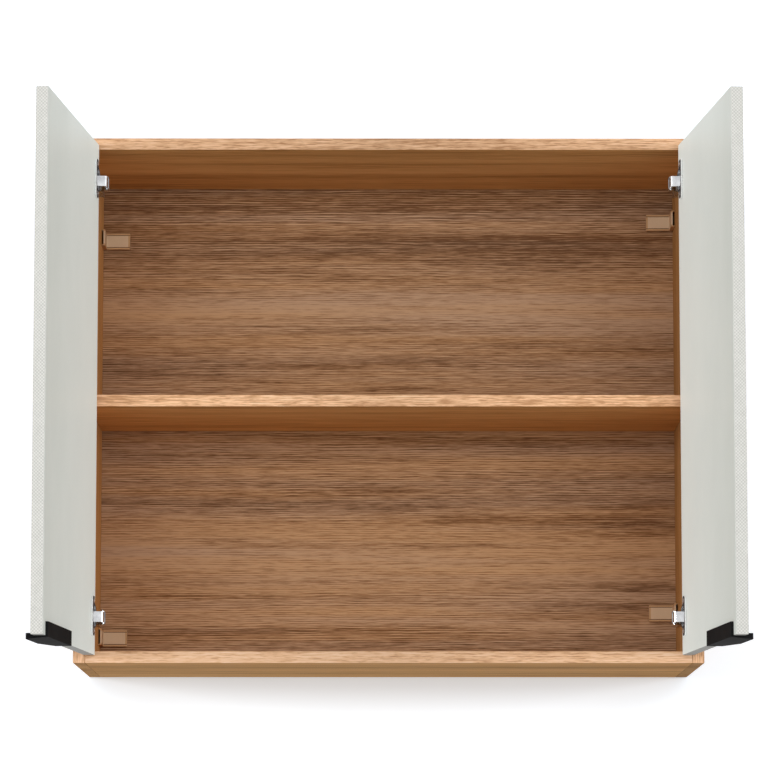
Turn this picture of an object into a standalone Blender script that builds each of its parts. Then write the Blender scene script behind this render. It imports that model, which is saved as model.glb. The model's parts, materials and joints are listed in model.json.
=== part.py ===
"""Two-door wall cabinet with one shelf, both doors standing open on concealed cup hinges.

Metres, +Z up. The front faces -Y and the wall is at +Y. The origin is the middle of the underside.
Hinges are laid out in plan with two distances: p runs from a side panel's inner face towards the middle of
the cabinet, and q runs forward from the carcass's front. On a door, s runs from its hinge edge along its
width and t runs from its inner face towards its outer face.
"""

import math

import bmesh
import bpy
from mathutils import Vector

MM = 0.001
FIT = 0.3 * MM                    # clearance between pieces that touch

# Carcass
WIDTH = 800 * MM
HEIGHT = 675 * MM
DEPTH = 310 * MM
BOARD = 15 * MM
BACK_THICKNESS = 3 * MM
BACK_RECESS = 12 * MM             # back panel's rear face to the carcass's rear
GROOVE_DEPTH = 5 * MM             # how far the back panel sits in the boards around it
SHELF_RECESS = 20 * MM
SHELF_HEIGHT = 330 * MM           # underside of the shelf
DOWEL_RADIUS = 4 * MM
DOWEL_IN_SIDE = 10 * MM
DOWEL_IN_SHELF = 20 * MM
DOWEL_INSET = 50 * MM             # dowel axis to the shelf's front or rear edge

# Doors
DOOR_THICKNESS = 15 * MM
DOOR_MARGIN = 10 * MM             # closed door's outer edges to the carcass's outline
DOOR_MIDDLE_GAP = 3 * MM
DOOR_FRONT_GAP = 4 * MM           # closed door's inner face to the carcass's front
OPEN_ANGLE = math.radians(95.2)
OPEN_INSET = 13 * MM              # p of an open door's inner face at its hinge edge
OPEN_STANDOFF = 5 * MM            # q of the same corner

# Hinges
HINGE_END_DISTANCE = 48 * MM      # hinge axis height to the door's nearer end
CUP_RADIUS = 14 * MM
CUP_DEPTH = 11 * MM
CUP_WALL = 1 * MM
CUP_EDGE_DISTANCE = 17 * MM       # cup axis to the door's hinge edge
FLANGE_LENGTH = 50 * MM
FLANGE_WIDTH = 18 * MM            # width of the flange's two screw ears
FLANGE_OFFSET = 7.5 * MM          # middle of the ears beyond the cup axis
FLANGE_CORNER = 6 * MM
FLANGE_RIM = 1.2 * MM             # rim of the flange beyond the cup
FLANGE_THICKNESS = 2 * MM
ARM_PIVOT_P = 22 * MM
ARM_PIVOT_SETBACK = 4 * MM        # arm pivot behind the carcass's front
CUP_PIVOT_DEPTH = 3 * MM          # t of the cup pivot
PIN_RADIUS = 1 * MM
PIN_CLEARANCE = 0.25 * MM
PIN_END = 0.6 * MM                # rivet end beyond the arm's cheek
EYE_WALL = 0.65 * MM
LINK_WIDTH = 13.2 * MM
LINK_THICKNESS = 1.8 * MM
LINK_ELBOW_P = 1.6 * MM           # link's elbow from the arm pivot while the door is open
LINK_ELBOW_Q = 15.6 * MM
LINK_BEND = 3.4 * MM              # elbow to each end of the bend
ARM_WIDTH = 16.4 * MM
ARM_SHEET = 1.3 * MM
ARM_NOSE_RADIUS = 3 * MM
ARM_REAR_HEIGHT = 16 * MM         # p of the arm's back over its mounting plate
ARM_CRANK_START = 14 * MM         # crank's two ends behind the carcass's front
ARM_CRANK_END = 24 * MM
ARM_LENGTH = 64 * MM
ARM_SKIRT = 7 * MM                # height of the arm's cheeks over the mounting plate
ARM_MOUTH = 4 * MM                # open fork behind the pivot
PLATE_BASE = 2 * MM
PLATE_START = 30 * MM
PLATE_LENGTH = 32 * MM
PLATE_WING_LENGTH = 46 * MM
PLATE_WING_WIDTH = 14 * MM

# Corner pulls
PULL_LENGTH = 170 * MM
PULL_END_DISTANCE = 17 * MM       # pull's near end to the door's free edge
PULL_LIP_LENGTH = 84 * MM
PULL_LIP_REACH = 8.3 * MM         # lip beyond the door's outer face
PULL_LIP_HEIGHT = 7.3 * MM
PULL_LIP_THICKNESS = 7 * MM
PULL_LIP_DROP = 4.5 * MM          # lowest edge of the lip below the door
PULL_BASE = 1.6 * MM
PULL_PLATE_HEIGHT = 16.4 * MM
PULL_PLATE_THICKNESS = 3.2 * MM
PULL_TAIL_REACH = 1.2 * MM        # base beyond the door's outer face at the far end

# Corner brackets, with the distance from their middles to the bottom or top panel
BRACKET_DISTANCES = {
    "left_lower": 35.5 * MM,
    "left_upper": 73 * MM,
    "right_lower": 69 * MM,
    "right_upper": 47 * MM,
}
BRACKET_BACK_LEG = 36 * MM
BRACKET_SIDE_LEG = 44 * MM
BRACKET_TALL = 21.6 * MM
BRACKET_SHEET = 2 * MM
COVER_BACK_THICKNESS = 6.5 * MM
COVER_SIDE_THICKNESS = 2.2 * MM
COVER_WALL = 1.2 * MM
COVER_STRIP = 2.2 * MM            # strips of the front face above and below its grooves
COVER_GROOVE = 0.9 * MM           # width and depth of the grooves
COVER_OVERHANG = 28 * MM          # cover's side leg beyond the bracket under it

ROUND_SIDES = 32
SMALL_ROUND_SIDES = 16

# Worked out from the sizes above
FRONT_Y = -DEPTH / 2
INNER_X = WIDTH / 2 - BOARD
BACK_Y = DEPTH / 2 - BACK_RECESS - BACK_THICKNESS
DOOR_WIDTH = (WIDTH - 2 * DOOR_MARGIN - DOOR_MIDDLE_GAP) / 2
DOOR_BOTTOM = DOOR_MARGIN
DOOR_TOP = HEIGHT - DOOR_MARGIN
CLOSED_CORNER = Vector((DOOR_MARGIN - BOARD, DOOR_FRONT_GAP))
OPEN_CORNER = Vector((OPEN_INSET, OPEN_STANDOFF))
ARM_PIVOT = Vector((ARM_PIVOT_P, -ARM_PIVOT_SETBACK))
ARM_TOP = ARM_PIVOT_P + ARM_NOSE_RADIUS
FLANGE_TOP = FIT + FLANGE_THICKNESS
BORE_RADIUS = PIN_RADIUS + PIN_CLEARANCE
EYE_RADIUS = BORE_RADIUS + EYE_WALL
SIDES = {"left": -1, "right": 1}
HINGE_HEIGHTS = {
    "lower": DOOR_BOTTOM + HINGE_END_DISTANCE,
    "upper": DOOR_TOP - HINGE_END_DISTANCE,
}


def turned(vector, angle):
    """A plan vector turned from p towards q."""
    cos, sin = math.cos(angle), math.sin(angle)
    return Vector((vector.x * cos - vector.y * sin, vector.x * sin + vector.y * cos))


def on_open_door(s, t):
    """Plan place of a door point while the door is open."""
    return OPEN_CORNER + turned(Vector((s, t)), OPEN_ANGLE)


def cup_pivot():
    """Door place (s, t) of the cup pivot that is as far from the arm pivot closed as it is open."""
    closed = ARM_PIVOT - CLOSED_CORNER
    opened = turned(ARM_PIVOT - OPEN_CORNER, -OPEN_ANGLE)
    middle = (closed + opened) / 2
    across = opened - closed
    s = middle.x - across.y * (CUP_PIVOT_DEPTH - middle.y) / across.x
    return Vector((s, CUP_PIVOT_DEPTH))


CUP_PIVOT = cup_pivot()


def in_plan(side, z_low=0.0):
    """Placing function for plan outlines: (p, q, height) to world."""
    def place(p, q, height):
        return Vector((side * (INNER_X - p), FRONT_Y - q, z_low + height))
    return place


def arc(centre, radius, start, end, steps):
    """Points along an arc, in degrees, both ends included."""
    points = []
    for step in range(steps + 1):
        angle = math.radians(start + (end - start) * step / steps)
        points.append((centre[0] + radius * math.cos(angle), centre[1] + radius * math.sin(angle)))
    return points


def circle(centre, radius, sides=ROUND_SIDES):
    return arc(centre, radius, 0, 360 * (sides - 1) / sides, sides - 1)


def rectangle(low, high):
    return [(low[0], low[1]), (high[0], low[1]), (high[0], high[1]), (low[0], high[1])]


def material(name, colour, roughness, metallic=0.0):
    made = bpy.data.materials.new(name)
    made.use_nodes = True
    shader = made.node_tree.nodes["Principled BSDF"]
    shader.inputs["Base Color"].default_value = (*colour, 1)
    shader.inputs["Roughness"].default_value = roughness
    shader.inputs["Metallic"].default_value = metallic
    return made


def empty(name, location, parent=None):
    made = bpy.data.objects.new(name, None)
    bpy.context.collection.objects.link(made)
    made.location = location
    if parent:
        made.parent = parent
        made.location = Vector(location) - parent.location
    return made


def loft(name, sections, finish, parent):
    """A closed solid through matching sections of points, in the parent's frame."""
    mesh = bpy.data.meshes.new(name)
    bm = bmesh.new()
    rings = [[bm.verts.new(point) for point in section] for section in sections]
    count = len(rings[0])
    for ring, after in zip(rings, rings[1:]):
        for i in range(count):
            j = (i + 1) % count
            bm.faces.new((ring[i], ring[j], after[j], after[i]))
    bm.faces.new(rings[0])
    bm.faces.new(rings[-1])
    bmesh.ops.recalc_face_normals(bm, faces=bm.faces)
    bm.to_mesh(mesh)
    bm.free()
    mesh.shade_smooth()
    mesh.set_sharp_from_angle(angle=math.radians(30))
    made = bpy.data.objects.new(name, mesh)
    bpy.context.collection.objects.link(made)
    made.parent = parent
    if finish:
        mesh.materials.append(finish)
    return made


def extrude(name, outline, low, high, place, finish, parent):
    """An outline drawn in the first two of place's directions, extruded along its third."""
    sections = [[place(a, b, level) for a, b in outline] for level in (low, high)]
    return loft(name, sections, finish, parent)


def box(name, low, high, finish, parent):
    return extrude(name, rectangle(low, high), low[2], high[2], world, finish, parent)


def world(x, y, z):
    return Vector((x, y, z))


def combine(target, tool, operation):
    """Cuts or joins a hidden tool object into the target."""
    tool.hide_render = True
    tool.display_type = "WIRE"
    modifier = target.modifiers.new(tool.name, "BOOLEAN")
    modifier.operation = operation
    modifier.object = tool


def cut(target, tool):
    combine(target, tool, "DIFFERENCE")


def join(target, tool):
    combine(target, tool, "UNION")


def hidden(name, outline, low, high, place, parent):
    return extrude(name, outline, low, high, place, None, parent)


def carcass(wood, back_wood, dowel_wood, root):
    """Side, top and bottom boards with the grooved-in back, and the shelf on its dowels."""
    groove_low = BACK_Y - FIT
    groove_high = BACK_Y + BACK_THICKNESS + FIT
    rear = DEPTH / 2
    panels = {}
    for name, side in SIDES.items():
        outer = side * WIDTH / 2
        inner = side * INNER_X
        groove = side * (INNER_X + GROOVE_DEPTH)
        outline = [
            (outer, FRONT_Y), (inner, FRONT_Y), (inner, groove_low), (groove, groove_low),
            (groove, groove_high), (inner, groove_high), (inner, rear), (outer, rear),
        ]
        panels[name] = extrude(f"{name}_side_panel", outline, 0, HEIGHT, world, wood, root)

    def along_x(y, z, x):
        return Vector((x, y, z))

    half = INNER_X - FIT
    for name, outside, inside in (("bottom", 0, BOARD), ("top", HEIGHT, HEIGHT - BOARD)):
        groove = inside + (outside - inside) * GROOVE_DEPTH / BOARD
        outline = [
            (FRONT_Y, outside), (FRONT_Y, inside), (groove_low, inside), (groove_low, groove),
            (groove_high, groove), (groove_high, inside), (rear, inside), (rear, outside),
        ]
        extrude(f"{name}_panel", outline, -half, half, along_x, wood, root)

    reach = GROOVE_DEPTH - FIT
    box("back_panel", (-INNER_X - reach, BACK_Y, BOARD - reach),
        (INNER_X + reach, BACK_Y + BACK_THICKNESS, HEIGHT - BOARD + reach), back_wood, root)

    shelf_front = FRONT_Y + SHELF_RECESS
    shelf_rear = BACK_Y - FIT
    shelf = box("shelf", (-half, shelf_front, SHELF_HEIGHT),
                (half, shelf_rear, SHELF_HEIGHT + BOARD), wood, root)
    for name, side in SIDES.items():
        for end, y in (("front", shelf_front + DOWEL_INSET), ("rear", shelf_rear - DOWEL_INSET)):
            centre = (y, SHELF_HEIGHT + BOARD / 2)
            reach_out = side * (INNER_X + DOWEL_IN_SIDE)
            reach_in = side * (INNER_X - DOWEL_IN_SHELF)
            hole = hidden(f"{name}_{end}_dowel_hole", circle(centre, DOWEL_RADIUS + FIT, SMALL_ROUND_SIDES),
                          reach_in - side * FIT, reach_out + side * FIT, along_x, root)
            cut(shelf, hole)
            cut(panels[name], hole)
            extrude(f"{name}_{end}_shelf_dowel", circle(centre, DOWEL_RADIUS, SMALL_ROUND_SIDES),
                    reach_in, reach_out, along_x, dowel_wood, root)


def bracket(name, side, height, plastic, root):
    """L-shaped corner bracket with its snap-on cover; (a, b) run from the side and from the back panel."""
    def place(a, b, z):
        return Vector((side * (INNER_X - a), BACK_Y - b, height + z))

    half = BRACKET_TALL / 2
    slot_half = half - COVER_WALL
    sheet = FIT + BRACKET_SHEET
    base = [
        (FIT, FIT), (BRACKET_BACK_LEG, FIT), (BRACKET_BACK_LEG, sheet), (sheet, sheet),
        (sheet, BRACKET_SIDE_LEG - COVER_OVERHANG), (FIT, BRACKET_SIDE_LEG - COVER_OVERHANG),
    ]
    extrude(f"{name}_bracket", base, FIT - slot_half, slot_half - FIT, place, plastic, root)

    seat = sheet + FIT
    front = seat + COVER_BACK_THICKNESS
    inner = seat + COVER_SIDE_THICKNESS
    foot = front - COVER_GROOVE
    shell = [
        (FIT, seat), (BRACKET_BACK_LEG, seat), (BRACKET_BACK_LEG, front), (inner, front),
        (inner, BRACKET_SIDE_LEG), (FIT, BRACKET_SIDE_LEG),
    ]
    cover = extrude(f"{name}_bracket_cover", shell, -half, half, place, plastic, root)
    slot = rectangle((0, 0), (seat, BRACKET_SIDE_LEG + FIT))
    cut(cover, hidden(f"{name}_cover_slot", slot, -slot_half, slot_half, place, root))
    groove = rectangle((inner, foot), (BRACKET_BACK_LEG + FIT, front + FIT))
    outer = half - COVER_STRIP
    for end, low, high in (("upper", outer - COVER_GROOVE, outer), ("lower", -outer, COVER_GROOVE - outer)):
        cut(cover, hidden(f"{name}_cover_{end}_groove", groove, low, high, place, root))
    hollow = rectangle((inner + COVER_WALL, 0), (BRACKET_BACK_LEG - COVER_WALL, foot - COVER_WALL))
    cut(cover, hidden(f"{name}_cover_hollow", hollow, -slot_half, slot_half, place, root))


def on_closed_door(side):
    """Placing function for a door piece drawn closed, about its cup pivot: (s, t, z)."""
    def place(s, t, z):
        return Vector((-side * (s - CUP_PIVOT.x), -(t - CUP_PIVOT.y), z))
    return place


def door(name, side, finish, axis):
    """Flat door drawn closed, with its two cup bores."""
    place = on_closed_door(side)
    outline = rectangle((0, 0), (DOOR_WIDTH, DOOR_THICKNESS))
    panel = extrude(f"{name}_door_panel", outline, DOOR_BOTTOM, DOOR_TOP, place, finish, axis)
    for level, height in HINGE_HEIGHTS.items():
        bore = circle((CUP_EDGE_DISTANCE, height), CUP_RADIUS + FIT)
        cut(panel, hidden(f"{name}_{level}_cup_bore", bore, -CUP_DEPTH, CUP_DEPTH + FIT,
                          lambda s, z, t: place(s, t, z), axis))


def corner_pull(name, side, finish, axis):
    """Black pull hooked under the door's free lower corner, lofted along the door's width."""
    place = on_closed_door(side)
    top = DOOR_BOTTOM - FIT
    plate_front = -FIT - PULL_PLATE_THICKNESS
    plate_top = DOOR_BOTTOM + PULL_PLATE_HEIGHT
    near = DOOR_WIDTH - PULL_END_DISTANCE

    def section(s, reach, drop, lip_height, lip_thickness):
        edge = DOOR_THICKNESS + reach
        profile = [
            (plate_front, top - PULL_BASE), (edge, DOOR_BOTTOM - drop),
            (edge, DOOR_BOTTOM - drop + lip_height), (edge - lip_thickness, DOOR_BOTTOM - drop + lip_height),
            (DOOR_THICKNESS, top), (-FIT, top), (-FIT, plate_top), (plate_front, plate_top),
        ]
        return [place(s, t, z) for t, z in profile]

    full = (PULL_LIP_REACH, PULL_LIP_DROP, PULL_LIP_HEIGHT, PULL_LIP_THICKNESS)
    tail = (PULL_TAIL_REACH, FIT + PULL_BASE, PULL_BASE - FIT, PULL_TAIL_REACH / 2)
    loft(f"{name}_corner_pull", [
        section(near, *full),
        section(near - PULL_LIP_LENGTH, *full),
        section(near - PULL_LENGTH, *tail),
    ], finish, axis)


def hinge_cup(name, side, height, metal, axis):
    """Drawn cup with its flange, and the pin that the link turns on."""
    place = on_closed_door(side)

    def facing(s, z, t):
        return place(CUP_EDGE_DISTANCE + s, t, height + z)

    rim = CUP_RADIUS + FLANGE_RIM
    rim_angle = math.degrees(math.acos((FLANGE_OFFSET - FLANGE_WIDTH / 2) / rim))
    near = FLANGE_OFFSET + FLANGE_WIDTH / 2 - FLANGE_CORNER
    far = FLANGE_OFFSET - FLANGE_WIDTH / 2 + FLANGE_CORNER
    straight = FLANGE_LENGTH / 2 - FLANGE_CORNER
    outline = arc((near, straight), FLANGE_CORNER, 0, 90, 6)
    outline += arc((far, straight), FLANGE_CORNER, 90, 180, 6)
    outline += arc((0, 0), rim, rim_angle, 360 - rim_angle, 16)
    outline += arc((far, -straight), FLANGE_CORNER, 180, 270, 6)
    outline += arc((near, -straight), FLANGE_CORNER, 270, 360, 6)
    flange = extrude(f"{name}_hinge_cup", outline, -FLANGE_TOP, -FIT, facing, metal, axis)
    join(flange, hidden(f"{name}_cup_body", circle((0, 0), CUP_RADIUS),
                        -FIT - FLANGE_THICKNESS / 2, CUP_DEPTH, facing, axis))
    cut(flange, hidden(f"{name}_cup_hollow", circle((0, 0), CUP_RADIUS - CUP_WALL),
                       -2 * FLANGE_TOP, CUP_DEPTH - CUP_WALL, facing, axis))

    off_axis = CUP_EDGE_DISTANCE - CUP_PIVOT.x + PIN_RADIUS
    chord = math.sqrt((CUP_RADIUS - CUP_WALL) ** 2 - off_axis ** 2) - FIT
    extrude(f"{name}_cup_pin", circle(CUP_PIVOT, PIN_RADIUS, SMALL_ROUND_SIDES),
            height - chord, height + chord, place, metal, axis)


def hinge_link(name, side, height, metal, axis):
    """Strap bent at an elbow, with an eye at each end, drawn at the open door."""
    def place(p, q, z):
        return in_plan(side, height)(p, q, z) - axis.location

    cup_end = on_open_door(*CUP_PIVOT)
    elbow = ARM_PIVOT + Vector((LINK_ELBOW_P, LINK_ELBOW_Q))
    bend_in = elbow + (cup_end - elbow).normalized() * LINK_BEND
    bend_out = elbow + (ARM_PIVOT - elbow).normalized() * LINK_BEND
    middle = [cup_end]
    for step in range(9):
        share = step / 8
        middle.append(bend_in.lerp(elbow, share).lerp(elbow.lerp(bend_out, share), share))
    middle.append(ARM_PIVOT)

    left, right = [], []
    for i, point in enumerate(middle):
        along = (middle[min(i + 1, len(middle) - 1)] - middle[max(i - 1, 0)]).normalized()
        across = Vector((-along.y, along.x)) * LINK_THICKNESS / 2
        left.append(point + across)
        right.append(point - across)
    half = LINK_WIDTH / 2
    strap = extrude(f"{name}_hinge_link", left + right[::-1], -half, half, place, metal, axis)
    for end, pivot in (("cup", cup_end), ("arm", ARM_PIVOT)):
        join(strap, hidden(f"{name}_link_{end}_eye", circle(pivot, EYE_RADIUS, SMALL_ROUND_SIDES),
                           -half, half, place, axis))
    for end, pivot in (("cup", cup_end), ("arm", ARM_PIVOT)):
        cut(strap, hidden(f"{name}_link_{end}_bore", circle(pivot, BORE_RADIUS, SMALL_ROUND_SIDES),
                          -LINK_WIDTH, LINK_WIDTH, place, axis))


def hinge_arm(name, side, height, metal, root):
    """Cranked channel arm with a forked nose, its rivet, and the plate that it is screwed to."""
    place = in_plan(side, height)
    half = ARM_WIDTH / 2
    back = ARM_TOP - ARM_SHEET
    rear_back = ARM_REAR_HEIGHT - ARM_SHEET
    skirt = ARM_REAR_HEIGHT - ARM_SKIRT
    nose_under = ARM_PIVOT_P - ARM_NOSE_RADIUS
    outline = arc(ARM_PIVOT, ARM_NOSE_RADIUS, 180, 0, 10) + [
        (ARM_TOP, -ARM_CRANK_START), (ARM_REAR_HEIGHT, -ARM_CRANK_END), (ARM_REAR_HEIGHT, -ARM_LENGTH),
        (skirt, -ARM_LENGTH), (skirt, -ARM_CRANK_END), (nose_under, -ARM_CRANK_START),
    ]
    arm = extrude(f"{name}_hinge_arm", outline, -half, half, place, metal, root)
    mouth = -ARM_PIVOT_SETBACK - ARM_MOUTH
    above = ARM_TOP + ARM_NOSE_RADIUS
    ahead = ARM_NOSE_RADIUS
    channel = [
        (above, ahead), (above, mouth), (back, mouth), (back, -ARM_CRANK_START),
        (rear_back, -ARM_CRANK_END), (rear_back, -ARM_LENGTH - ARM_SHEET),
        (0, -ARM_LENGTH - ARM_SHEET), (0, ahead),
    ]
    inner_half = half - ARM_SHEET
    cut(arm, hidden(f"{name}_arm_channel", channel, -inner_half, inner_half, place, root))
    cut(arm, hidden(f"{name}_arm_bore", circle(ARM_PIVOT, BORE_RADIUS, SMALL_ROUND_SIDES),
                    -ARM_WIDTH, ARM_WIDTH, place, root))
    extrude(f"{name}_arm_pin", circle(ARM_PIVOT, PIN_RADIUS, SMALL_ROUND_SIDES),
            -half - PIN_END, half + PIN_END, place, metal, root)

    def on_side(q, z, p):
        return place(p, q, z)

    plate_end = -PLATE_START - PLATE_LENGTH
    plate_middle = -PLATE_START - PLATE_LENGTH / 2
    rail_half = inner_half - FIT
    rail_top = rear_back - FIT
    plate = extrude(f"{name}_mounting_plate", rectangle((plate_end, -rail_half), (-PLATE_START, rail_half)),
                    FIT, rail_top, on_side, metal, root)
    wing_half = PLATE_WING_LENGTH / 2
    wing_round = PLATE_WING_WIDTH / 2
    wings = arc((plate_middle, wing_half - wing_round), wing_round, 0, 180, 10)
    wings += arc((plate_middle, wing_round - wing_half), wing_round, 180, 360, 10)
    join(plate, hidden(f"{name}_plate_wings", wings, FIT, FIT + PLATE_BASE, on_side, root))


def main():
    for old in list(bpy.data.objects):
        bpy.data.objects.remove(old)
    wood = material("wood_board", (0.32, 0.17, 0.08), 0.5)
    back_wood = material("wood_back", (0.26, 0.14, 0.07), 0.55)
    dowel_wood = material("beech_dowel", (0.6, 0.4, 0.2), 0.6)
    door_finish = material("woven_white", (0.64, 0.64, 0.59), 0.5)
    black = material("black_pull", (0.012, 0.012, 0.012), 0.4)
    metal = material("nickel", (0.62, 0.61, 0.58), 0.28, 1.0)
    plastic = material("tan_plastic", (0.33, 0.2, 0.12), 0.5)

    root = empty("carcass", (0, 0, 0))
    carcass(wood, back_wood, dowel_wood, root)
    for name, distance in BRACKET_DISTANCES.items():
        side, level = name.split("_")
        height = BOARD + distance if level == "lower" else HEIGHT - BOARD - distance
        bracket(name, SIDES[side], height, plastic, root)
    for name, side in SIDES.items():
        in_row = in_plan(side)
        link_axis = empty(f"{name}_link_axis", in_row(*ARM_PIVOT, 0), root)
        door_axis = empty(f"{name}_door_axis", in_row(*on_open_door(*CUP_PIVOT), 0), link_axis)
        door_axis.rotation_euler.z = side * OPEN_ANGLE
        door(name, side, door_finish, door_axis)
        corner_pull(name, side, black, door_axis)
        for level, height in HINGE_HEIGHTS.items():
            hinge = f"{name}_{level}"
            hinge_cup(hinge, side, height, metal, door_axis)
            hinge_link(hinge, side, height, metal, link_axis)
            hinge_arm(hinge, side, height, metal, root)


main()
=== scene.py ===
"""Looks of the two-door wall cabinet: finishes, screws, studio stage, light and camera.

Metres, +Z up, the front faces -Y and the wall is at +Y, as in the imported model.
"""

import json
import math

import bmesh
import bpy
from mathutils import Matrix, Vector

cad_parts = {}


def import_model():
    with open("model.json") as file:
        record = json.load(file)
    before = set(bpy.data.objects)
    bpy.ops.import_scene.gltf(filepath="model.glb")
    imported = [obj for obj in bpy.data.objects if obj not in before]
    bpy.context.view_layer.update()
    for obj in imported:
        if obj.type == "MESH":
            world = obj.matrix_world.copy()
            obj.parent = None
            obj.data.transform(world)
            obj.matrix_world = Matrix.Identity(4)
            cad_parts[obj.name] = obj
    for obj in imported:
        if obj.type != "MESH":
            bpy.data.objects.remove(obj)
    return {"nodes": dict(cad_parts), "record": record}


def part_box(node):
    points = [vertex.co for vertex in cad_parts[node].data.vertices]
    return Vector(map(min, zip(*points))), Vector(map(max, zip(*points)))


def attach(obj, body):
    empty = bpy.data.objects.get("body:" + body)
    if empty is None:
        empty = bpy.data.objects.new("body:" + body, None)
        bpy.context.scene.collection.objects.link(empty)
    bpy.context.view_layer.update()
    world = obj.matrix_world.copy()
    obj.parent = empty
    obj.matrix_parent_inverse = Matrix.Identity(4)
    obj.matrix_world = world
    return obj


MM = 0.001
SIDES = {"left": -1, "right": 1}

# Sizes of the model that the boxes of its nodes do not give
OPEN_ANGLE = math.radians(95.2)
OPEN_CORNER = Vector((13 * MM, 5 * MM))
DOOR_WIDTH = 388.5 * MM
FLANGE_SCREW_PLACE = 24.5 * MM
FLANGE_TOP = 2.3 * MM
FLANGE_SCREW_SPACING = 38 * MM
PLATE_TOP = 2.3 * MM
PLATE_SCREW_SPACING = 32 * MM
ARM_BACK = 16 * MM
ARM_SCREW_STEPS = (-13 * MM, 2 * MM)
COVER_SIDE = 4.7 * MM
COVER_STRIP = 2.2 * MM
COVER_GROOVE = 0.9 * MM

# Softened edges of boards and doors
BOARD_EDGE = 0.7 * MM
DOOR_EDGE = 1.0 * MM
EDGE_STEPS = 2
WELD_REACH = 0.01 * MM
FLAT_ANGLE = math.radians(0.5)
SHARP_ANGLE = math.radians(60)

# Screw heads: radius and height of each kind, then shares of these, then the cross recess and its turn
FLANGE_HEAD = (3.4 * MM, 0.9 * MM)
PLATE_HEAD = (3.4 * MM, 1.5 * MM)
ARM_HEAD = (3.2 * MM, 1.3 * MM)
HEAD_SIDES = 24
SHOULDER_HEIGHT = 0.45
CROWN_RADIUS = 0.72
RECESS_REACH = 0.56
RECESS_FOOT = 0.7
RECESS_WIDTH = 0.9 * MM
RECESS_DEPTH = 0.5 * MM
FIRST_TURN = math.radians(20)
NEXT_TURN = math.radians(37)
HEAD_SHARP_ANGLE = math.radians(35)

# Camera, fitted to the photograph's edges
CAMERA_PLACE = (-0.0142, -5.4756, -0.3252)
CAMERA_PITCH = math.radians(7.218)
CAMERA_YAW = math.radians(-0.17)
CAMERA_LENS = 193.86

# Stage
FLOOR_HEIGHT = -1.45
FLOOR_FRONT = -4.0
WALL_GAP = 1 * MM
WALL_REACH = 2.2
WALL_TOP = 2.4
WALL_COLOUR = (0.845, 0.90, 0.96)
WALL_GLOW = 0.28
FLOOR_COLOUR = (0.80, 0.80, 0.80)
FLOOR_GLOW = 0.64

# Light: place, width, height and power of a lamp; the near and far ones stand on both sides
AMBIENT = 0.42
LIT_MIDDLE = (0, -0.1, 0.34)
FRONT_LAMP = ((0, -5.0, 0.8), 2.4, 1.1, 51)
NEAR_LAMP = ((1.4, -4.8, 0.65), 1.2, 1.0, 30)
FAR_LAMP = ((4.0, -3.0, 0.3), 1.4, 0.9)
FAR_POWERS = {-1: 101, 1: 85}

# Share of a normal along a direction from which a face counts as facing it
FACING = 0.7
PLATE_FACING = 0.8

# Wood tones: dark, middle and light, as linear colours, and their places in the range of tones
EDGE_TONES = ((0.46, 0.245, 0.125), (0.78, 0.475, 0.28), (0.90, 0.62, 0.425))
BOARD_TONES = ((0.38, 0.18, 0.062), (0.66, 0.35, 0.13), (0.82, 0.49, 0.22))
BACK_TONES = ((0.152, 0.078, 0.041), (0.345, 0.20, 0.114), (0.53, 0.342, 0.216))
BACK_WARM_TONES = ((0.174, 0.077, 0.033), (0.372, 0.20, 0.096), (0.567, 0.34, 0.181))
BEECH_TONES = ((0.45, 0.28, 0.14), (0.60, 0.41, 0.23), (0.70, 0.52, 0.32))
MIDDLE_TONE = 0.5
WOOD_STOPS = (0.12, MIDDLE_TONE, 0.88)
LIGHTEST = 0.95

# Grain axis, place in the grain, lightness of the board and of its edge band; both lightnesses are painted
# light and shade, set per board for how the light falls on it
BOARDS = {
    "top_panel": ("x", 1.0, 0.98, 0.91),
    "bottom_panel": ("x", 7.0, 1.1, 0.885),
    "shelf": ("x", 13.0, 1.05, 1.18),
    "left_side_panel": ("z", 19.0, 0.98, 0.97),
    "right_side_panel": ("z", 29.0, 0.76, 0.97),
}
SEED_SHARES = (1.0, 0.5, 0.3)
BACK_PLACE = (0.3, 2.1, 0.9)
BEECH_PLACE = (4.2, 0.4, 1.7)
BAND_SHIFT = 3.7
BAND_PLACE = (1.3, 5.1)

# Noise of the grain: cycles per metre along and across it, and levels of detail
GRAIN_NOISE = {
    "bands": (0.6, 16.0, 2.0),
    "mid_bands": (0.9, 50.0, 2.0),
    "dark_bands": (1.5, 42.0, 3.0),
    "streaks": (3.5, 70.0, 2.0),
    "slow_wander": (1.2, 55.0, 2.0),
    "quick_wander": (3.0, 60.0, 2.0),
    "broken": (7.0, 240.0, 1.0),
    "strong": (0.8, 9.0, 1.0),
    "figure": (0.9, 5.0, 2.0),
    "fine": (17.0, 760.0, 2.0),
    "pores": (75.0, 620.0, 2.0),
    "warmth": (1.1, 34.0, 2.0),
}
GRAIN_ROUGHNESS = 0.55
NOISE_MIDDLE = 0.5

# Limits between which a noise goes from none to full
GRAIN_LIMITS = {
    "dark_bands": (-0.17, -0.03),
    "streaks": (-0.2, -0.04),
    "broken": (-0.12, 0.12),
    "strong": (-0.1, 0.1),
    "pores": (-0.15, 0.02),
    "warmth": (-0.12, 0.12),
}

# Shares in the tone
GRAIN_WEIGHTS = {
    "bands": 1.0,
    "figured_bands": 0.6,
    "mid_bands": 0.6,
    "dark_bands": 0.24,
    "streaks": 0.18,
    "lines": 0.25,
    "fine": 1.2,
}

# Ribs: period, sway of their lines, least strength, and share in the height
RIB_PERIOD = 3.1 * MM
SLOW_WANDER = 16.0
QUICK_WANDER = 2.6
LEAST_STRENGTH = 0.2
RIB_HEIGHT = 0.4

# Strength of the ribs, shortness of the fibres and flecks
PLAIN_RIBS = 0.5
BOARD_RIBS = 0.8
BAND_RIBS = 0.7
BAND_BREAKS = 2.5
BAND_PORES = 0.24
BACK_RIBS = 1.4
BACK_BREAKS = 3.0
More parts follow.
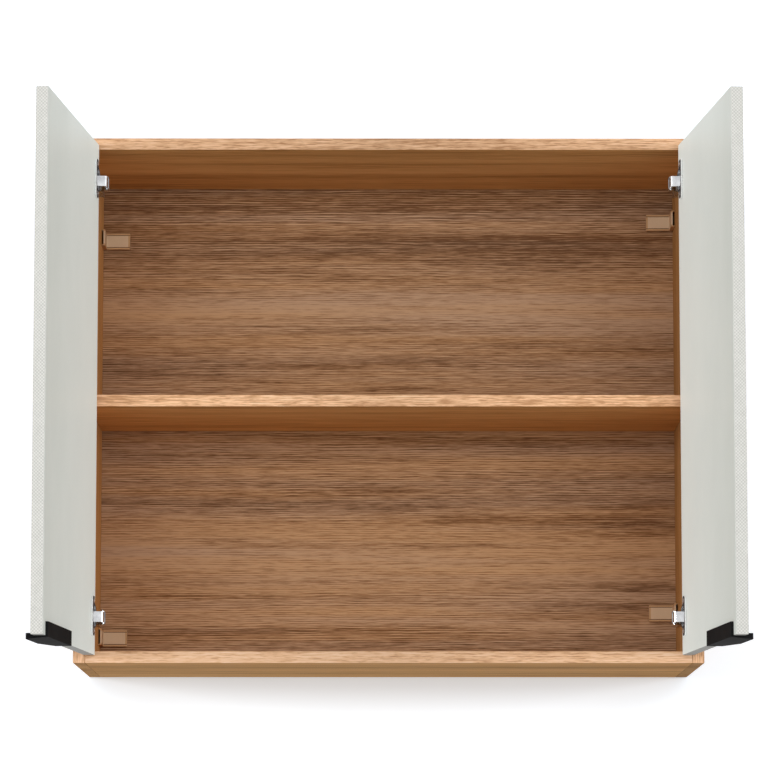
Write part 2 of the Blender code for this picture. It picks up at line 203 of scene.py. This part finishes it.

# Figure of the back panel from top to foot, its darker start under the top panel partly painted shade: share
# of its height, added lightness, strength of the ribs
BACK_FIGURE_AND_SHADE = (
    (0.00, -0.08, 1.4), (0.12, -0.03, 1.0), (0.24, 0.36, 0.65), (0.34, 0.16, 0.75), (0.48, 0.08, 0.9),
    (0.53, 0.12, 1.1), (0.62, -0.04, 0.8), (0.76, 0.33, 0.65), (0.84, 0.08, 0.9), (1.00, -0.05, 1.0),
)
FIGURE_SWAY = 0.08

# Wood surface: roughness from low to high places, gloss and relief
WOOD_HEIGHTS = (-0.3, 0.3)
WOOD_ROUGHNESS = (0.7, 0.55)
WOOD_SPECULAR = 0.01
WOOD_RELIEF = (0.15 * MM, 0.6)

# Doors: tones of the weave and of the inner face, at the hinges and at the free edge; the inner face's tones
# are painted light at the hinges and painted shade at the free edge
WEAVE_PERIOD = 4.0 * MM
THREAD = (0.61, 0.605, 0.575)
THREAD_GAP = (0.415, 0.415, 0.39)
THREAD_STOPS = (0.1, 0.9)
INNER_HINGE_LIGHT_TONES = ((0.86, 0.92, 0.89), (0.905, 0.965, 0.935))
INNER_EDGE_SHADE_TONES = ((0.655, 0.69, 0.65), (0.705, 0.74, 0.70))
UNEVEN_SCALE = 180
UNEVENNESS = 0.5
MOTTLE_SCALE = (9, 9, 6)
SPECKLE_SCALE = 520
SPECKLE = 0.6
SPECKLE_HEIGHT = 0.12
WEAVE_ROUGHNESS = (0.7, 0.5)
INNER_ROUGHNESS = (0.5, 0.42)
DOOR_SPECULAR = 0.1
DOOR_RELIEF = (0.25 * MM, 0.7)

# Moulded pieces: tones, roughness, scale of the texture, gloss
TAN_TONES = ((0.65, 0.475, 0.315), (0.705, 0.53, 0.36))
TAN_STRIP_TONES = ((0.54, 0.33, 0.17), (0.60, 0.37, 0.20))
# The grooves of a bracket cover are painted dark as painted shade
TAN_GROOVE_SHADE_TONES = ((0.13, 0.065, 0.03), (0.19, 0.10, 0.05))
BLACK_TONES = ((0.007, 0.007, 0.0074), (0.012, 0.012, 0.0127))
TAN_PLASTIC = (TAN_TONES, 0.45, 900, 0.03)
BLACK_COATING = (BLACK_TONES, 0.6, 1400, 0.01)
PAIR_STOPS = (0.25, 0.75)
CLOUD_SCALE = 40
MOULD_TEXTURE = 0.5
MOULD_LIMITS = (0.2, 0.8)
MOULD_SPREAD = 0.06
MOULD_RELIEF = (0.06 * MM, 0.5)

# Plated pieces
NICKEL_TONES = ((0.54, 0.55, 0.57), (0.80, 0.81, 0.825))
ARM_TONES = ((0.26, 0.26, 0.27), (0.46, 0.46, 0.47))
# Hinge cups: a brighter nickel as painted highlight on their edges, and dark flat faces as painted shade
CUP_EDGE_HIGHLIGHT_TONES = ((0.88, 0.885, 0.89), (0.97, 0.975, 0.98))
CUP_FLAT_SHADE_TONES = ((0.05, 0.052, 0.06), (0.085, 0.088, 0.10))
PLATE_STOPS = (0.3, 0.7)
DRAWN_SCALE = (900, 900, 60)
PLATE_CLOUD_SCALE = 120
DRAWN_LIMITS = (0.2, 0.8)
PLATE_ROUGHNESS = (0.2, 0.34)
FLAT_METALLIC = 0.4
FLAT_ROUGHNESS = 0.25
PLATE_SPECULAR = 0.05
PLATE_RELIEF = (0.02 * MM, 0.4)


class Finish:
    """A node material under construction, with short calls for the nodes it needs."""

    def __init__(self, name):
        self.material = bpy.data.materials.new(name)
        self.material.use_nodes = True
        self.nodes = self.material.node_tree.nodes
        self.links = self.material.node_tree.links
        self.shader = self.nodes["Principled BSDF"]

    def add(self, kind, **settings):
        node = self.nodes.new(kind)
        for key, value in settings.items():
            setattr(node, key, value)
        return node

    def feed(self, socket, value):
        if isinstance(value, bpy.types.NodeSocket):
            self.links.new(value, socket)
        else:
            socket.default_value = value

    def coordinates(self, kind="Object"):
        return self.add("ShaderNodeTexCoord").outputs[kind]

    def scaled(self, vector, scale, offset=(0, 0, 0)):
        node = self.add("ShaderNodeMapping")
        self.feed(node.inputs["Vector"], vector)
        node.inputs["Scale"].default_value = scale
        node.inputs["Location"].default_value = offset
        return node.outputs["Vector"]

    def noise(self, vector, detail, roughness=0.5):
        node = self.add("ShaderNodeTexNoise")
        self.feed(node.inputs["Vector"], vector)
        node.inputs["Scale"].default_value = 1.0
        node.inputs["Detail"].default_value = detail
        node.inputs["Roughness"].default_value = roughness
        return node.outputs["Fac"]

    def math(self, operation, first, second=0.0, third=0.0):
        node = self.add("ShaderNodeMath", operation=operation)
        for socket, value in zip(node.inputs, (first, second, third)):
            self.feed(socket, value)
        return node.outputs[0]

    def dot(self, vector, direction):
        node = self.add("ShaderNodeVectorMath", operation="DOT_PRODUCT")
        self.feed(node.inputs[0], vector)
        node.inputs[1].default_value = direction
        return node.outputs["Value"]

    def ranged(self, value, low, high, to_low=0.0, to_high=1.0):
        node = self.add("ShaderNodeMapRange")
        for key, item in (("Value", value), ("From Min", low), ("From Max", high),
                          ("To Min", to_low), ("To Max", to_high)):
            self.feed(node.inputs[key], item)
        return node.outputs["Result"]

    def ramp(self, value, stops):
        node = self.add("ShaderNodeValToRGB")
        self.feed(node.inputs["Fac"], value)
        elements = node.color_ramp.elements
        while len(elements) < len(stops):
            elements.new(0.5)
        for element, (place, colour) in zip(elements, stops):
            element.position = place
            element.color = (*colour, 1)
        return node.outputs["Color"]

    def toned(self, value, stops, tones):
        """A ramp through some tones, each at its stop."""
        return self.ramp(value, list(zip(stops, tones)))

    def parts(self, colour):
        node = self.add("ShaderNodeSeparateColor")
        self.feed(node.inputs["Color"], colour)
        return node.outputs

    def mixed(self, share, first, second):
        """A colour that goes from the first to the second as share goes from 0 to 1."""
        node = self.add("ShaderNodeMix", data_type="RGBA")
        sockets = {socket.identifier: socket for socket in node.inputs}
        self.feed(sockets["Factor_Float"], share)
        self.feed(sockets["A_Color"], first)
        self.feed(sockets["B_Color"], second)
        return {socket.identifier: socket for socket in node.outputs}["Result_Color"]

    def between(self, share, first, second):
        """A number that goes from the first to the second as share goes from 0 to 1."""
        return self.math("MULTIPLY_ADD", share, self.math("SUBTRACT", second, first), first)

    def centred(self, value, weight, added):
        """Adds a noise to a value, with its middle taken as no change."""
        return self.math("MULTIPLY_ADD", self.math("SUBTRACT", value, NOISE_MIDDLE), weight, added)

    def facing(self, direction):
        """1 where the surface faces a direction, 0 elsewhere."""
        return self.math("GREATER_THAN", self.dot(self.coordinates("Normal"), direction), FACING)

    def facing_either_way(self, direction, share=FACING):
        """1 where the surface faces a direction or its opposite, 0 elsewhere."""
        level = self.math("ABSOLUTE", self.dot(self.coordinates("Normal"), direction))
        return self.math("GREATER_THAN", level, share)

    def bump(self, height, distance, strength):
        node = self.add("ShaderNodeBump")
        self.feed(node.inputs["Height"], height)
        node.inputs["Distance"].default_value = distance
        node.inputs["Strength"].default_value = strength
        self.links.new(node.outputs["Normal"], self.shader.inputs["Normal"])

    def set(self, **values):
        for name, value in values.items():
            self.feed(self.shader.inputs[name.replace("_", " ").title().replace("Ior", "IOR")], value)


def evenly(scale):
    """Texture scale that is the same along every axis."""
    return (scale, scale, scale)


def along(axis, lengthwise, across):
    """Texture scale that stretches a pattern along one axis."""
    return tuple(lengthwise if name == axis else across for name in "xyz")


def lifted(tones, factor):
    """Lighter or darker tones of the same hue."""
    return tuple(tuple(min(LIGHTEST, factor * value) for value in tone) for tone in tones)


def grain(finish, axis, tones, offset, ribs, breaks=1.0, figure=None, warm_tones=None, pores=0.0):
    """Colour and height of streaked wood with its grain along one axis.

    More breaks give shorter fibres, the back panel's table gives light and dark bands down it, with painted
    shade partly in the darker top, warm tones vary the hue, and pores add short dark flecks.
    """
    place = finish.coordinates()
    across = finish.dot(place, tuple(0.0 if name == axis else 1.0 for name in "xyz"))

    def layer(kind, shorten=1.0):
        lengthwise, crosswise, detail = GRAIN_NOISE[kind]
        stretched = finish.scaled(place, along(axis, lengthwise * shorten, crosswise), offset)
        return finish.math("SUBTRACT", finish.noise(stretched, detail, GRAIN_ROUGHNESS), NOISE_MIDDLE)

    def darkening(kind):
        return finish.ranged(layer(kind), *GRAIN_LIMITS[kind], -1.0, 0.0)

    wander = finish.math("MULTIPLY", layer("slow_wander"), SLOW_WANDER)
    wander = finish.math("MULTIPLY_ADD", layer("quick_wander", breaks), QUICK_WANDER * breaks, wander)
    phase = finish.math("MULTIPLY_ADD", across, 2 * math.pi / RIB_PERIOD, wander)
    broken = finish.ranged(layer("broken", breaks), *GRAIN_LIMITS["broken"])
    # The back panel's table gives wood figure, and painted shade partly in its darker top
    if figure:
        panel_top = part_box("top_panel")[0].z
        depth = finish.math("MULTIPLY_ADD", finish.dot(place, (0, 0, 1)), -1 / panel_top, 1.0)
        depth = finish.math("MULTIPLY_ADD", layer("figure"), FIGURE_SWAY, depth)
        # The ramp holds half the strength of the ribs, so that its colours stay within 1
        stops = [(share, (MIDDLE_TONE + light, rib / 2, 0)) for share, light, rib in figure]
        curve = finish.parts(finish.ramp(depth, stops))
        tone = curve[0]
        strong = finish.math("MULTIPLY", curve[1], 2.0)
        band_weight = GRAIN_WEIGHTS["figured_bands"]
    else:
        tone = MIDDLE_TONE
        strong = finish.ranged(layer("strong"), *GRAIN_LIMITS["strong"], LEAST_STRENGTH, 1.0)
        band_weight = GRAIN_WEIGHTS["bands"]
    lines = finish.math("MULTIPLY", finish.math("SINE", phase), broken)
    lines = finish.math("MULTIPLY", lines, strong)
    fine = layer("fine", breaks)
    weights = [
        (layer("bands"), band_weight),
        (darkening("streaks"), GRAIN_WEIGHTS["streaks"]),
        (lines, GRAIN_WEIGHTS["lines"] * ribs),
        (fine, GRAIN_WEIGHTS["fine"]),
    ]
    if figure:
        weights.append((darkening("dark_bands"), GRAIN_WEIGHTS["dark_bands"]))
        weights.append((layer("mid_bands"), GRAIN_WEIGHTS["mid_bands"]))
    if pores:
        weights.append((darkening("pores"), pores))
    for part, weight in weights:
        tone = finish.math("MULTIPLY_ADD", part, weight, tone)
    colour = finish.toned(tone, WOOD_STOPS, tones)
    if warm_tones:
        warmth = finish.ranged(layer("warmth"), *GRAIN_LIMITS["warmth"])
        colour = finish.mixed(warmth, colour, finish.toned(tone, WOOD_STOPS, warm_tones))
    return colour, finish.math("MULTIPLY_ADD", lines, RIB_HEIGHT, fine)


def wood(name, axis, tones, offset, band_tones=None, ribs=PLAIN_RIBS, **figured):
    """Wood-look board; with band tones, its front edges carry a lighter edge band."""
    finish = Finish(name)
    colour, height = grain(finish, axis, tones, offset, ribs, **figured)
    if band_tones:
        band_offset = (offset[0] + BAND_SHIFT, *BAND_PLACE)
        band_colour, band_height = grain(finish, axis, band_tones, band_offset, BAND_RIBS, BAND_BREAKS,
                                         pores=BAND_PORES)
        on_front = finish.facing((0, -1, 0))
        colour = finish.mixed(on_front, colour, band_colour)
        height = finish.between(on_front, height, band_height)
    finish.set(base_color=colour, roughness=finish.ranged(height, *WOOD_HEIGHTS, *WOOD_ROUGHNESS),
               specular_ior_level=WOOD_SPECULAR)
    finish.bump(height, *WOOD_RELIEF)
    return finish.material


def woven(name, side):
    """Door finish: crossed diagonal threads on the outer face and edges, plain on the inner face, which is
    painted lighter towards the hinges and darker towards the free edge as painted light and shade.
    """
    finish = Finish(name)
    s_axis = (-side * math.cos(OPEN_ANGLE), -math.sin(OPEN_ANGLE), 0)
    t_axis = (side * math.sin(OPEN_ANGLE), -math.cos(OPEN_ANGLE), 0)
    place = finish.coordinates()
    s, t, z = (finish.dot(place, axis) for axis in (s_axis, t_axis, (0, 0, 1)))
    on_edge = finish.facing_either_way(s_axis)
    on_end = finish.facing_either_way((0, 0, 1))
    inside = finish.facing([-part for part in t_axis])
    across = finish.between(on_edge, s, t)
    upward = finish.between(on_end, z, t)

    def threads(operation):
        phase = finish.math("MULTIPLY", finish.math(operation, across, upward), 2 * math.pi / WEAVE_PERIOD)
        return finish.math("MULTIPLY_ADD", finish.math("COSINE", phase), 0.5, 0.5)

    crossed = finish.math("MULTIPLY", finish.math("ADD", threads("ADD"), threads("SUBTRACT")), 0.5)
    uneven = finish.noise(finish.scaled(place, evenly(UNEVEN_SCALE)), detail=2.0)
    weave = finish.centred(uneven, UNEVENNESS, crossed)
    mottle = finish.noise(finish.scaled(place, MOTTLE_SCALE), detail=4.0, roughness=0.6)
    speckle = finish.noise(finish.scaled(place, evenly(SPECKLE_SCALE)), detail=2.0)
    plain = finish.centred(speckle, SPECKLE, mottle)
    outer_colour = finish.toned(weave, THREAD_STOPS, (THREAD_GAP, THREAD))
    # Painted light and shade: the inner face is lighter at the hinge edge and darker at the free edge
    hinge_edge = on_door(side, 0, 0, 0).dot(Vector(s_axis))
    inner_colour_with_painted_light = finish.mixed(finish.ranged(s, hinge_edge, hinge_edge + DOOR_WIDTH),
                                finish.toned(plain, PAIR_STOPS, INNER_HINGE_LIGHT_TONES),
                                finish.toned(plain, PAIR_STOPS, INNER_EDGE_SHADE_TONES))
    roughness = finish.between(inside, finish.ranged(weave, 0, 1, *WEAVE_ROUGHNESS),
                               finish.ranged(plain, 0, 1, *INNER_ROUGHNESS))
    finish.set(base_color=finish.mixed(inside, outer_colour, inner_colour_with_painted_light), roughness=roughness,
               specular_ior_level=DOOR_SPECULAR)
    height = finish.between(inside, weave, finish.math("MULTIPLY", speckle, SPECKLE_HEIGHT))
    finish.bump(height, *DOOR_RELIEF)
    return finish.material


def with_groove_shade(finish, colour, tone, cover):
    """Darkens the strips on the front face of a bracket cover, and paints shade into its grooves."""
    low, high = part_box(cover)
    inner_end, outer_end = sorted((abs(low.x), abs(high.x)))
    groove_middle = (high.z - low.z) / 2 - COVER_STRIP - COVER_GROOVE / 2
    place = finish.coordinates()
    height = finish.math("SUBTRACT", finish.dot(place, (0, 0, 1)), (low.z + high.z) / 2)
    height = finish.math("ABSOLUTE", height)
    sideways = finish.math("ABSOLUTE", finish.dot(place, (1, 0, 0)))
    on_strip = finish.math("MAXIMUM", finish.math("GREATER_THAN", height, groove_middle),
                           finish.math("LESS_THAN", sideways, inner_end + COVER_STRIP))
    on_face = finish.math("LESS_THAN", sideways, outer_end - COVER_SIDE)
    on_face = finish.math("MULTIPLY", finish.facing((0, -1, 0)), on_face)
    # Painted shade along the grooves of the front face
    groove_shade = finish.math("COMPARE", height, groove_middle, COVER_GROOVE / 2)
    groove_shade = finish.math("MULTIPLY", groove_shade, on_face)
    colour = finish.mixed(on_strip, colour, finish.toned(tone, PAIR_STOPS, TAN_STRIP_TONES))
    return finish.mixed(groove_shade, colour, finish.toned(tone, PAIR_STOPS, TAN_GROOVE_SHADE_TONES))


def moulded(name, tones, roughness, coarse, specular, cover=None):
    """Moulded or coated surface with faint clouding and a fine texture, which can be a bracket cover's."""
    finish = Finish(name)
    place = finish.coordinates()
    cloud = finish.noise(finish.scaled(place, evenly(CLOUD_SCALE)), detail=3.0)
    fine = finish.noise(finish.scaled(place, evenly(coarse)), detail=2.0)
    tone = finish.centred(fine, MOULD_TEXTURE, cloud)
    colour = finish.toned(tone, PAIR_STOPS, tones)
    if cover:
        colour = with_groove_shade(finish, colour, tone, cover)
    finish.set(base_color=colour, specular_ior_level=specular,
               roughness=finish.ranged(fine, *MOULD_LIMITS, roughness - MOULD_SPREAD,
                                       roughness + MOULD_SPREAD))
    finish.bump(fine, *MOULD_RELIEF)
    return finish.material


def plated(name, tones, flat_shade_tones=None):
    """Nickel plate with faint drawing lines and clouding; its flat faces can take darker tones of painted
    shade.
    """
    finish = Finish(name)
    place = finish.coordinates()
    lines = finish.noise(finish.scaled(place, DRAWN_SCALE), detail=2.0)
    cloud = finish.noise(finish.scaled(place, evenly(PLATE_CLOUD_SCALE)), detail=3.0)
    colour = finish.toned(cloud, PLATE_STOPS, tones)
    metallic = 1.0
    roughness = finish.ranged(lines, *DRAWN_LIMITS, *PLATE_ROUGHNESS)
    # Painted shade: the flat faces turn dark and less metallic
    if flat_shade_tones:
        on_shaded_flat = finish.facing_either_way((1, 0, 0), PLATE_FACING)
        colour = finish.mixed(on_shaded_flat, colour, finish.toned(cloud, PLATE_STOPS, flat_shade_tones))
        metallic = finish.math("MULTIPLY_ADD", on_shaded_flat, FLAT_METALLIC - 1.0, 1.0)
        roughness = finish.math("MULTIPLY_ADD", on_shaded_flat, FLAT_ROUGHNESS, roughness)
    finish.set(base_color=colour, metallic=metallic, roughness=roughness, specular_ior_level=PLATE_SPECULAR)
    finish.bump(lines, *PLATE_RELIEF)
    return finish.material


def soften(node, width):
    """Breaks the sharp edges of a board a little, as sanding does."""
    weld = node.modifiers.new("weld", "WELD")
    weld.merge_threshold = WELD_REACH
    flat = node.modifiers.new("flat_faces", "DECIMATE")
    flat.decimate_type = "DISSOLVE"
    flat.angle_limit = FLAT_ANGLE
    edges = node.modifiers.new("soft_edges", "BEVEL")
    edges.width = width
    edges.segments = EDGE_STEPS
    edges.limit_method = "ANGLE"
    edges.angle_limit = SHARP_ANGLE
    edges.harden_normals = True


def board_wood(name):
    """Wood of one of the carcass boards, with its own place in the grain and its own painted light and
    shade.
    """
    axis, seed, board_painted_light, band_painted_light = BOARDS[name]
    offset = tuple(share * seed for share in SEED_SHARES)
    return wood(f"{name}_wood", axis, lifted(BOARD_TONES, board_painted_light), offset, lifted(EDGE_TONES, band_painted_light),
                BOARD_RIBS)


def dress(frame):
    """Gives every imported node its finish."""
    finishes = {
        "wood_back": wood("back_wood", "x", BACK_TONES, BACK_PLACE, ribs=BACK_RIBS, breaks=BACK_BREAKS,
                          figure=BACK_FIGURE_AND_SHADE, warm_tones=BACK_WARM_TONES),
        "beech_dowel": wood("raw_beech", "x", BEECH_TONES, BEECH_PLACE),
        "tan_plastic": moulded("tan_plastic", *TAN_PLASTIC),
        "black_pull": moulded("black_coating", *BLACK_COATING),
        "nickel": plated("nickel_plate", NICKEL_TONES),
    }
    hinge_finishes = {
        "hinge_cup": plated("cup_plate", CUP_EDGE_HIGHLIGHT_TONES, CUP_FLAT_SHADE_TONES),
        "hinge_arm": plated("arm_plate", ARM_TONES),
    }
    slots = {row["node"]: row["material_slot"] for row in frame["record"]["subparts"]}
    for name, node in frame["nodes"].items():
        if name in BOARDS:
            finish = board_wood(name)
            soften(node, BOARD_EDGE)
        elif slots[name] == "woven_white":
            side = name.split("_")[0]
            finish = woven(f"{side}_door_weave", SIDES[side])
            soften(node, DOOR_EDGE)
        elif name.endswith("_bracket_cover"):
            finish = moulded(f"{name}_plastic", *TAN_PLASTIC, name)
        else:
            # A hinge piece is named by its side, level and kind
            finish = hinge_finishes.get(name.split("_", 2)[-1], finishes.get(slots[name]))
        for slot in node.material_slots:
            slot.material = finish
    return finishes


def ring(bm, radius, height):
    """Circle of vertices about Z."""
    angles = [2 * math.pi * i / HEAD_SIDES for i in range(HEAD_SIDES)]
    return [bm.verts.new((radius * math.cos(angle), radius * math.sin(angle), height)) for angle in angles]


def join_rows(bm, low, high):
    """Faces between two closed rows of vertices."""
    for i in range(len(low)):
        j = (i + 1) % len(low)
        bm.faces.new((low[i], low[j], high[j], high[i]))


def closed_edges(bm, row):
    """Edges of a closed row of vertices."""
    return [bm.edges.get((row[i], row[(i + 1) % len(row)])) for i in range(len(row))]


def cross_outline(reach, half):
    """Corners of a plus sign, counter-clockwise."""
    outline = []
    for turn in range(4):
        for x, y in ((reach, -half), (reach, half), (half, half)):
            for _ in range(turn):
                x, y = -y, x
            outline.append((x, y))
    return outline


def screw_head(bm, place, radius, height):
    """Domed screw head with a cross recess, drawn about +Z and moved by a matrix."""
    made = bmesh.new()
    rim = ring(made, radius, 0.0)
    shoulder = ring(made, radius, SHOULDER_HEIGHT * height)
    crown = ring(made, CROWN_RADIUS * radius, height)
    join_rows(made, rim, shoulder)
    join_rows(made, shoulder, crown)
    made.faces.new(rim[::-1])
    outline = cross_outline(RECESS_REACH * radius, RECESS_WIDTH / 2)
    top = [made.verts.new((x, y, height)) for x, y in outline]
    foot = [made.verts.new((RECESS_FOOT * x, RECESS_FOOT * y, height - RECESS_DEPTH)) for x, y in outline]
    join_rows(made, top, foot)
    made.faces.new(foot)
    edges = closed_edges(made, crown) + closed_edges(made, top)
    bmesh.ops.triangle_fill(made, edges=edges, use_beauty=True)
    bmesh.ops.recalc_face_normals(made, faces=made.faces)
    made.transform(place)
    scratch = bpy.data.meshes.new("screw")
    made.to_mesh(scratch)
    made.free()
    bm.from_mesh(scratch)
    bpy.data.meshes.remove(scratch)


def screws(name, places, body, finish):
    """One piece of several screw heads: (place, outward direction, (radius, height))."""
    bm = bmesh.new()
    for turn, (place, outward, (radius, height)) in enumerate(places):
        facing = Vector(outward).to_track_quat("Z", "Y").to_matrix().to_4x4()
        spin = Matrix.Rotation(FIRST_TURN + NEXT_TURN * turn, 4, "Z")
        screw_head(bm, Matrix.Translation(place) @ facing @ spin, radius, height)
    mesh = bpy.data.meshes.new(name)
    bm.to_mesh(mesh)
    bm.free()
    mesh.shade_smooth()
    mesh.set_sharp_from_angle(angle=HEAD_SHARP_ANGLE)
    mesh.materials.append(finish)
    made = bpy.data.objects.new(name, mesh)
    bpy.context.scene.collection.objects.link(made)
    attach(made, body)


def off_side(side, inward, y, z):
    """Place at some distance inward from a side panel's inner face."""
    inner_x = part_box("right_side_panel")[0].x
    return Vector((side * (inner_x - inward), y, z))


def on_door(side, s, t, z):
    """Place s from an open door's hinge edge, t outward from its inner face and z up."""
    cos, sin = math.cos(OPEN_ANGLE), math.sin(OPEN_ANGLE)
    inward = OPEN_CORNER.x + cos * s - sin * t
    forward = OPEN_CORNER.y + sin * s + cos * t
    front_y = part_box("right_side_panel")[0].y
    return off_side(side, inward, front_y - forward, z)


def around(middle, spacing):
    """Heights of two screws about a middle."""
    return middle - spacing / 2, middle + spacing / 2


def hinge_screws(finish):
    """Screws of the cup flanges, mounting plates and arms."""
    for side_name, side in SIDES.items():
        from_door = on_door(side, 0, -1, 0) - on_door(side, 0, 0, 0)
        from_side = (-side, 0, 0)
        for level in ("lower", "upper"):
            hinge = f"{side_name}_{level}"
            low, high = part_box(f"{hinge}_mounting_plate")
            _, y, height = (low + high) / 2
            places = [(on_door(side, FLANGE_SCREW_PLACE, -FLANGE_TOP, z), from_door, FLANGE_HEAD)
                      for z in around(height, FLANGE_SCREW_SPACING)]
            screws(f"{hinge}_flange_screws", places, f"{side_name}_door", finish)
            places = [(off_side(side, PLATE_TOP, y, z), from_side, PLATE_HEAD)
                      for z in around(height, PLATE_SCREW_SPACING)]
            places += [(off_side(side, ARM_BACK, y + step, height), from_side, ARM_HEAD)
                       for step in ARM_SCREW_STEPS]
            screws(f"{hinge}_arm_screws", places, "carcass", finish)


def plane(name, corners, material):
    """Stage surface that only the camera sees."""
    mesh = bpy.data.meshes.new(name)
    mesh.from_pydata(corners, [], [(0, 1, 2, 3)])
    mesh.materials.append(material)
    made = bpy.data.objects.new(name, mesh)
    bpy.context.scene.collection.objects.link(made)
    made.visible_diffuse = False
    made.visible_glossy = False
    made.visible_transmission = False
    made.visible_shadow = False


def backdrop(name, colour, glow):
    """White stage surface that shows shadows, and lets the view through from behind."""
    material = bpy.data.materials.new(name)
    material.use_nodes = True
    nodes, links = material.node_tree.nodes, material.node_tree.links
    nodes.clear()
    diffuse = nodes.new("ShaderNodeBsdfDiffuse")
    diffuse.inputs["Color"].default_value = (*colour, 1)
    emission = nodes.new("ShaderNodeEmission")
    emission.inputs["Strength"].default_value = glow
    both = nodes.new("ShaderNodeAddShader")
    links.new(diffuse.outputs[0], both.inputs[0])
    links.new(emission.outputs[0], both.inputs[1])
    clear = nodes.new("ShaderNodeBsdfTransparent")
    choose = nodes.new("ShaderNodeMixShader")
    links.new(nodes.new("ShaderNodeNewGeometry").outputs["Backfacing"], choose.inputs["Fac"])
    links.new(both.outputs[0], choose.inputs[1])
    links.new(clear.outputs[0], choose.inputs[2])
    links.new(choose.outputs[0], nodes.new("ShaderNodeOutputMaterial").inputs["Surface"])
    return material


def stage():
    """Pale wall behind the cabinet, and a floor well below it."""
    wall_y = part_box("right_side_panel")[1].y + WALL_GAP
    plane("wall", [(-WALL_REACH, wall_y, FLOOR_HEIGHT), (WALL_REACH, wall_y, FLOOR_HEIGHT),
                   (WALL_REACH, wall_y, WALL_TOP), (-WALL_REACH, wall_y, WALL_TOP)],
          backdrop("white_wall", WALL_COLOUR, WALL_GLOW))
    plane("floor", [(-WALL_REACH, FLOOR_FRONT, FLOOR_HEIGHT), (WALL_REACH, FLOOR_FRONT, FLOOR_HEIGHT),
                    (WALL_REACH, wall_y, FLOOR_HEIGHT), (-WALL_REACH, wall_y, FLOOR_HEIGHT)],
          backdrop("pale_floor", FLOOR_COLOUR, FLOOR_GLOW))


def surroundings(scene):
    """World that looks white, and lights the cabinet at a lower level."""
    world = bpy.data.worlds.new("studio")
    scene.world = world
    world.use_nodes = True
    nodes, links = world.node_tree.nodes, world.node_tree.links
    background = nodes["Background"]
    background.inputs["Color"].default_value = (1, 1, 1, 1)
    path = nodes.new("ShaderNodeLightPath")
    seen = path.outputs["Is Camera Ray"]
    for kind in ("Is Glossy Ray", "Is Transmission Ray"):
        either = nodes.new("ShaderNodeMath")
        either.operation = "MAXIMUM"
        links.new(seen, either.inputs[0])
        links.new(path.outputs[kind], either.inputs[1])
        seen = either.outputs[0]
    level = nodes.new("ShaderNodeMapRange")
    level.inputs["To Min"].default_value = AMBIENT
    links.new(seen, level.inputs["Value"])
    links.new(level.outputs["Result"], background.inputs["Strength"])


def area_light(name, place, width, height, power, mirrored=False):
    """Lamp aimed at the cabinet; it shows in mirror surfaces only if mirrored."""
    data = bpy.data.lights.new(name, "AREA")
    data.shape = "RECTANGLE"
    data.size, data.size_y = width, height
    data.energy = power
    made = bpy.data.objects.new(name, data)
    bpy.context.scene.collection.objects.link(made)
    made.location = place
    made.rotation_euler = (Vector(LIT_MIDDLE) - Vector(place)).to_track_quat("-Z", "Y").to_euler()
    made.visible_camera = False
    made.visible_glossy = mirrored


def lamps():
    """Soft light from the front and from both sides."""
    area_light("front_softbox", *FRONT_LAMP)
    for side, far_power in FAR_POWERS.items():
        (x, y, z), *near = NEAR_LAMP
        area_light("near_softbox", (side * x, y, z), *near)
        (x, y, z), *far = FAR_LAMP
        area_light("far_softbox", (side * x, y, z), *far, far_power, True)


def add_camera(scene):
    """Camera pitched up from below the cabinet, with no shift."""
    data = bpy.data.cameras.new("camera")
    data.lens = CAMERA_LENS
    camera = bpy.data.objects.new("camera", data)
    scene.collection.objects.link(camera)
    camera.location = CAMERA_PLACE
    camera.rotation_euler = (math.pi / 2 + CAMERA_PITCH, 0, CAMERA_YAW)
    scene.camera = camera


def main():
    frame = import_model()
    scene = bpy.context.scene
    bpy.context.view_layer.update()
    finishes = dress(frame)
    hinge_screws(finishes["nickel"])
    scene.view_settings.view_transform = "Standard"
    stage()
    surroundings(scene)
    lamps()
    add_camera(scene)
    bpy.context.view_layer.update()


main()
